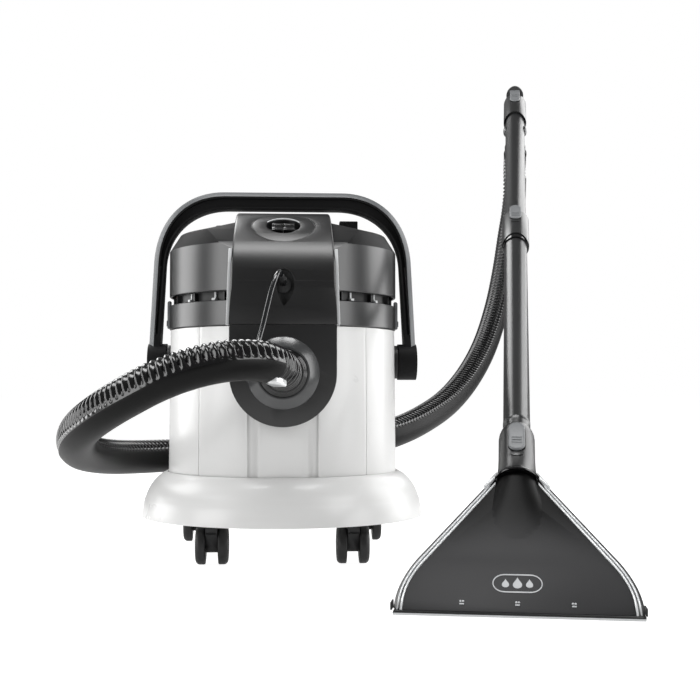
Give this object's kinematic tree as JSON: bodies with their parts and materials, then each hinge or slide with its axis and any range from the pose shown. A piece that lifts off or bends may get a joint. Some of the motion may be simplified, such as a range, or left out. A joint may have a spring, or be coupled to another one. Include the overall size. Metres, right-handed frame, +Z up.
{
  "type": "spray extraction carpet cleaner",
  "caption": "Round tub spray-extraction carpet cleaner on casters, with carry handle, suction hose, spray line, jointed wand and wide floor tool.",
  "frame": {"origin": "middle of the footprint of the whole part without its hoses, on the floor", "axes": "+Z up; -Y is the machine's front, where the hose port is; +X is to the right, where the wand stands"},
  "size_m": [0.7907, 1.3218, 0.7987],
  "materials": {
    "white_plastic": "smooth moulded, satin gloss",
    "tank_plastic": "smooth moulded",
    "black_plastic": "fine moulded grain",
    "dark_grey_plastic": "fine moulded grain",
    "light_grey_plastic": "smooth moulded",
    "mid_grey_plastic": "smooth moulded",
    "smoked_plastic": "smoked transparent moulding, polished",
    "soft_rubber": "matt",
    "hose_vinyl": "corrugated, slightly glossy",
    "wheel_rubber": "matt",
    "motor_steel": "drawn sheet",
    "fan_aluminium": "pressed sheet",
    "filter_foam": "open-cell foam"
  },
  "bodies": {
    "machine": {"chassis": "white_plastic", "tub": "white_plastic", "motor_plate": "dark_grey_plastic", "vent_ring": "black_plastic", "head_cover": "dark_grey_plastic", "front_cover": "black_plastic", "switch_pod": "black_plastic", "side_trim_left": "light_grey_plastic", "side_trim_right": "light_grey_plastic", "port_panel": "black_plastic", "port_ring": "light_grey_plastic", "hose_cuff": "black_plastic", "intake_elbow": "dark_grey_plastic", "spray_outlet": "mid_grey_plastic", "cord_hook": "black_plastic", "cord_gland": "soft_rubber", "fan_housing": "dark_grey_plastic", "vacuum_motor": "motor_steel", "water_pump": "dark_grey_plastic", "float_cage": "dark_grey_plastic", "foam_filter": "filter_foam", "handle_pivot_left": "black_plastic", "handle_pivot_right": "black_plastic", "suction_hose": "hose_vinyl", "spray_hose": "hose_vinyl", "upper_tube": "dark_grey_plastic", "grip": "dark_grey_plastic"},
    "carry_handle": {"carry_handle": "dark_grey_plastic"},
    "water_tank": {"water_tank": "tank_plastic"},
    "tank_cap": {"tank_cap": "black_plastic"},
    "tank_valve": {"tank_valve": "dark_grey_plastic"},
    "suction_button": {"suction_button": "dark_grey_plastic"},
    "spray_button": {"spray_button": "dark_grey_plastic"},
    "impeller": {"impeller": "fan_aluminium"},
    "float_ball": {"float_ball": "light_grey_plastic"},
    "lower_tube": {"lower_tube": "dark_grey_plastic"},
    "floor_tool": {"floor_tool_body": "black_plastic", "floor_tool_cover": "smoked_plastic", "floor_tool_lip": "mid_grey_plastic", "spray_bar": "dark_grey_plastic"},
    "tool_button": {"tool_button": "mid_grey_plastic"},
    "tube_button": {"tube_button": "mid_grey_plastic"},
    "grip_button": {"grip_button": "mid_grey_plastic"},
    "spray_lever": {"spray_lever": "mid_grey_plastic"},
    "hose_end": {"hose_end": "black_plastic"},
    "caster_front_left": {"caster_fork_front_left": "black_plastic"},
    "caster_wheel_front_left_l": {"caster_wheel_front_left_l": "wheel_rubber"},
    "caster_wheel_front_left_r": {"caster_wheel_front_left_r": "wheel_rubber"},
    "caster_front_right": {"caster_fork_front_right": "black_plastic"},
    "caster_wheel_front_right_l": {"caster_wheel_front_right_l": "wheel_rubber"},
    "caster_wheel_front_right_r": {"caster_wheel_front_right_r": "wheel_rubber"},
    "caster_rear_left": {"caster_fork_rear_left": "black_plastic"},
    "caster_wheel_rear_left_l": {"caster_wheel_rear_left_l": "wheel_rubber"},
    "caster_wheel_rear_left_r": {"caster_wheel_rear_left_r": "wheel_rubber"},
    "caster_rear_right": {"caster_fork_rear_right": "black_plastic"},
    "caster_wheel_rear_right_l": {"caster_wheel_rear_right_l": "wheel_rubber"},
    "caster_wheel_rear_right_r": {"caster_wheel_rear_right_r": "wheel_rubber"}
  },
  "joints": [
    {"name": "handle_swing", "type": "hinge", "parent": "machine", "child": "carry_handle", "pos_m": [-0.1514, -0.1063, 0.262], "axis": [1, 0, 0], "range_deg": [-90, 45]},
    {"name": "tank_lift", "type": "slide", "parent": "machine", "child": "water_tank", "axis": [0, 0, 1], "range_m": [0, 0.12]},
    {"name": "cap_off", "type": "slide", "parent": "water_tank", "child": "tank_cap", "axis": [0, 0.5736, 0.8192], "range_m": [0, 0.03]},
    {"name": "valve_lift", "type": "slide", "parent": "water_tank", "child": "tank_valve", "axis": [0, 0, 1], "range_m": [0, 0.004], "stiffness_N_per_m": 200},
    {"name": "suction_button_press", "type": "slide", "parent": "machine", "child": "suction_button", "axis": [0, 0.515, -0.8572], "range_m": [0, 0.003], "stiffness_N_per_m": 200},
    {"name": "spray_button_press", "type": "slide", "parent": "machine", "child": "spray_button", "axis": [0, 0.515, -0.8572], "range_m": [0, 0.003], "stiffness_N_per_m": 200},
    {"name": "impeller_spin", "type": "hinge", "parent": "machine", "child": "impeller", "pos_m": [-0.1514, -0.1313, 0.322], "axis": [0, 0, 1], "continuous": true},
    {"name": "float_rise", "type": "slide", "parent": "machine", "child": "float_ball", "axis": [0, 0, 1], "range_m": [0, 0.02]},
    {"name": "lower_tube_pull", "type": "slide", "parent": "machine", "child": "lower_tube", "axis": [-0.1568, -0.7777, -0.6088], "range_m": [0, 0.06]},
    {"name": "floor_tool_pull", "type": "slide", "parent": "lower_tube", "child": "floor_tool", "axis": [-0.1568, -0.7777, -0.6088], "range_m": [0, 0.05]},
    {"name": "tool_button_press", "type": "slide", "parent": "floor_tool", "child": "tool_button", "axis": [0.1203, 0.5968, -0.7934], "range_m": [0, 0.0025], "stiffness_N_per_m": 200},
    {"name": "tube_button_press", "type": "slide", "parent": "machine", "child": "tube_button", "axis": [0.1203, 0.5968, -0.7934], "range_m": [0, 0.0018], "stiffness_N_per_m": 200},
    {"name": "grip_button_press", "type": "slide", "parent": "machine", "child": "grip_button", "axis": [0.1203, 0.5968, -0.7934], "range_m": [0, 0.0018], "stiffness_N_per_m": 200},
    {"name": "spray_lever_squeeze", "type": "hinge", "parent": "machine", "child": "spray_lever", "pos_m": [0.28782, 0.43979, 0.7565], "axis": [0.9803, -0.1977, 0], "range_deg": [0, 7], "stiffness_Nm_per_rad": 1},
    {"name": "hose_end_swivel", "type": "hinge", "parent": "machine", "child": "hose_end", "pos_m": [0.32142, 0.60643, 0.7174], "axis": [0.1703, 0.8444, -0.508], "continuous": true},
    {"name": "caster_front_left_swivel", "type": "hinge", "parent": "machine", "child": "caster_front_left", "pos_m": [-0.2414, -0.2443, 0.062], "axis": [0, 0, 1], "continuous": true},
    {"name": "caster_wheel_front_left_l_roll", "type": "hinge", "parent": "caster_front_left", "child": "caster_wheel_front_left_l", "pos_m": [-0.2414, -0.2303, 0.025], "axis": [1, 0, 0], "continuous": true},
    {"name": "caster_wheel_front_left_r_roll", "type": "hinge", "parent": "caster_front_left", "child": "caster_wheel_front_left_r", "pos_m": [-0.2414, -0.2303, 0.025], "axis": [1, 0, 0], "continuous": true},
    {"name": "caster_front_right_swivel", "type": "hinge", "parent": "machine", "child": "caster_front_right", "pos_m": [-0.0614, -0.2443, 0.062], "axis": [0, 0, 1], "continuous": true},
    {"name": "caster_wheel_front_right_l_roll", "type": "hinge", "parent": "caster_front_right", "child": "caster_wheel_front_right_l", "pos_m": [-0.0614, -0.2303, 0.025], "axis": [1, 0, 0], "continuous": true},
    {"name": "caster_wheel_front_right_r_roll", "type": "hinge", "parent": "caster_front_right", "child": "caster_wheel_front_right_r", "pos_m": [-0.0614, -0.2303, 0.025], "axis": [1, 0, 0], "continuous": true},
    {"name": "caster_rear_left_swivel", "type": "hinge", "parent": "machine", "child": "caster_rear_left", "pos_m": [-0.2764, -0.0063, 0.062], "axis": [0, 0, 1], "continuous": true},
    {"name": "caster_wheel_rear_left_l_roll", "type": "hinge", "parent": "caster_rear_left", "child": "caster_wheel_rear_left_l", "pos_m": [-0.2764, 0.0077, 0.025], "axis": [1, 0, 0], "continuous": true},
    {"name": "caster_wheel_rear_left_r_roll", "type": "hinge", "parent": "caster_rear_left", "child": "caster_wheel_rear_left_r", "pos_m": [-0.2764, 0.0077, 0.025], "axis": [1, 0, 0], "continuous": true},
    {"name": "caster_rear_right_swivel", "type": "hinge", "parent": "machine", "child": "caster_rear_right", "pos_m": [-0.0264, -0.0063, 0.062], "axis": [0, 0, 1], "continuous": true},
    {"name": "caster_wheel_rear_right_l_roll", "type": "hinge", "parent": "caster_rear_right", "child": "caster_wheel_rear_right_l", "pos_m": [-0.0264, 0.0077, 0.025], "axis": [1, 0, 0], "continuous": true},
    {"name": "caster_wheel_rear_right_r_roll", "type": "hinge", "parent": "caster_rear_right", "child": "caster_wheel_rear_right_r", "pos_m": [-0.0264, 0.0077, 0.025], "axis": [1, 0, 0], "continuous": true}
  ]
}
